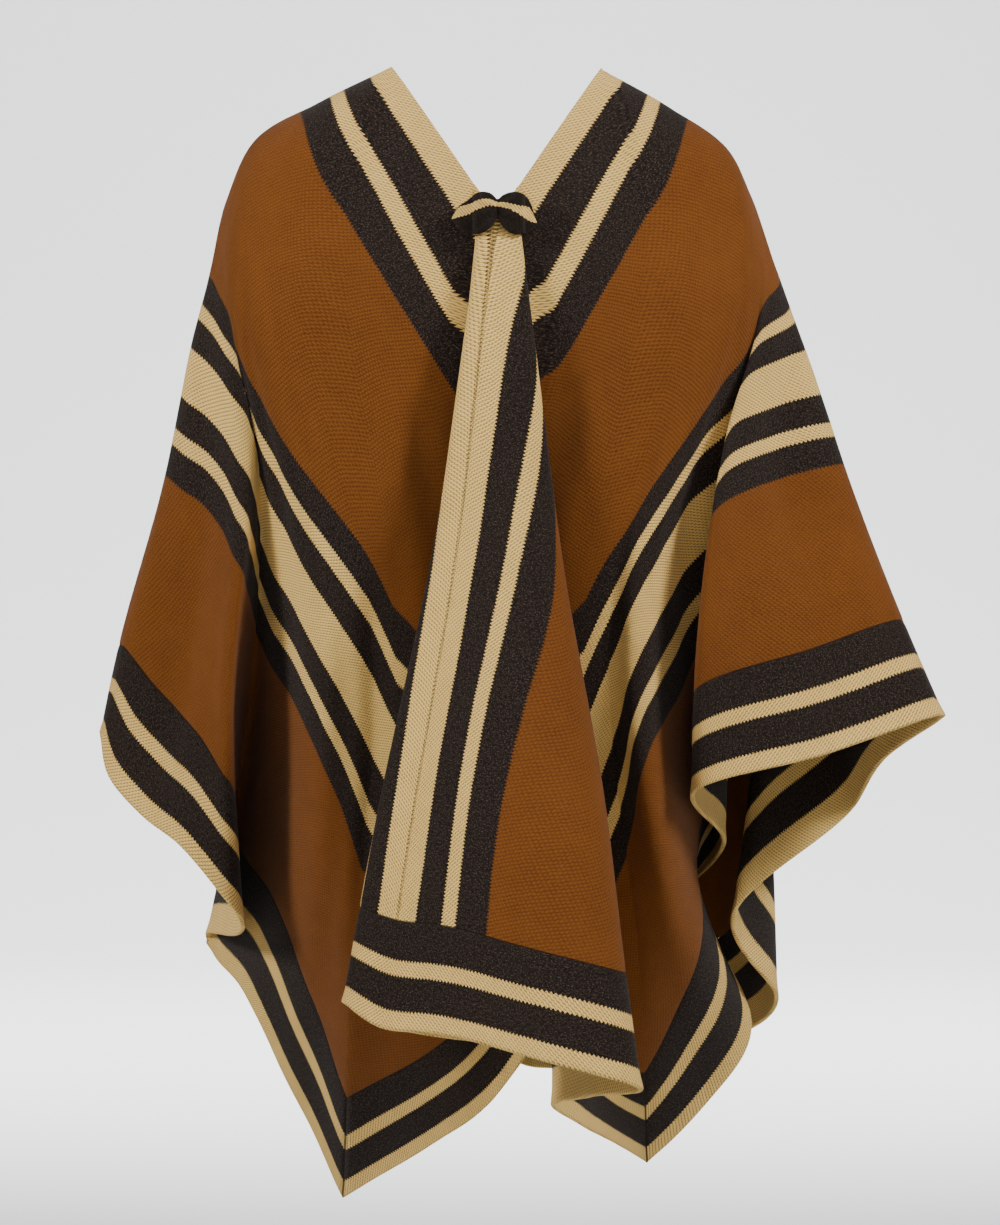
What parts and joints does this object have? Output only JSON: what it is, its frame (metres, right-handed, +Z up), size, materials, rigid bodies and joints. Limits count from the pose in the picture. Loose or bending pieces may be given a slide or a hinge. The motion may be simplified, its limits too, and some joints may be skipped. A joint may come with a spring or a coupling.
{
  "type": "andean poncho",
  "caption": "Hollow draped wool poncho with a slit neck, striped borders and a deep front fold, shaped as worn over the shoulders and arms.",
  "frame": {"origin": "midway between the shoulders, at the height of the upper ends of the neck opening", "axes": "+Z up, -Y to the wearer's front, -X to the wearer's right"},
  "size_m": [0.8022, 0.7421, 1.0974],
  "materials": {
    "brown_wool": "felted twill with a soft nap",
    "dark_wool": "heathered twill with a brushed nap",
    "beige_wool": "ribbed plain weave"
  },
  "bodies": {
    "root": {"panel_right": "brown_wool", "panel_left": "brown_wool", "band_front": "dark_wool", "band_side_right": "dark_wool", "band_back": "dark_wool", "band_side_left": "dark_wool", "slit_tab": "beige_wool"}
  },
  "joints": []
}
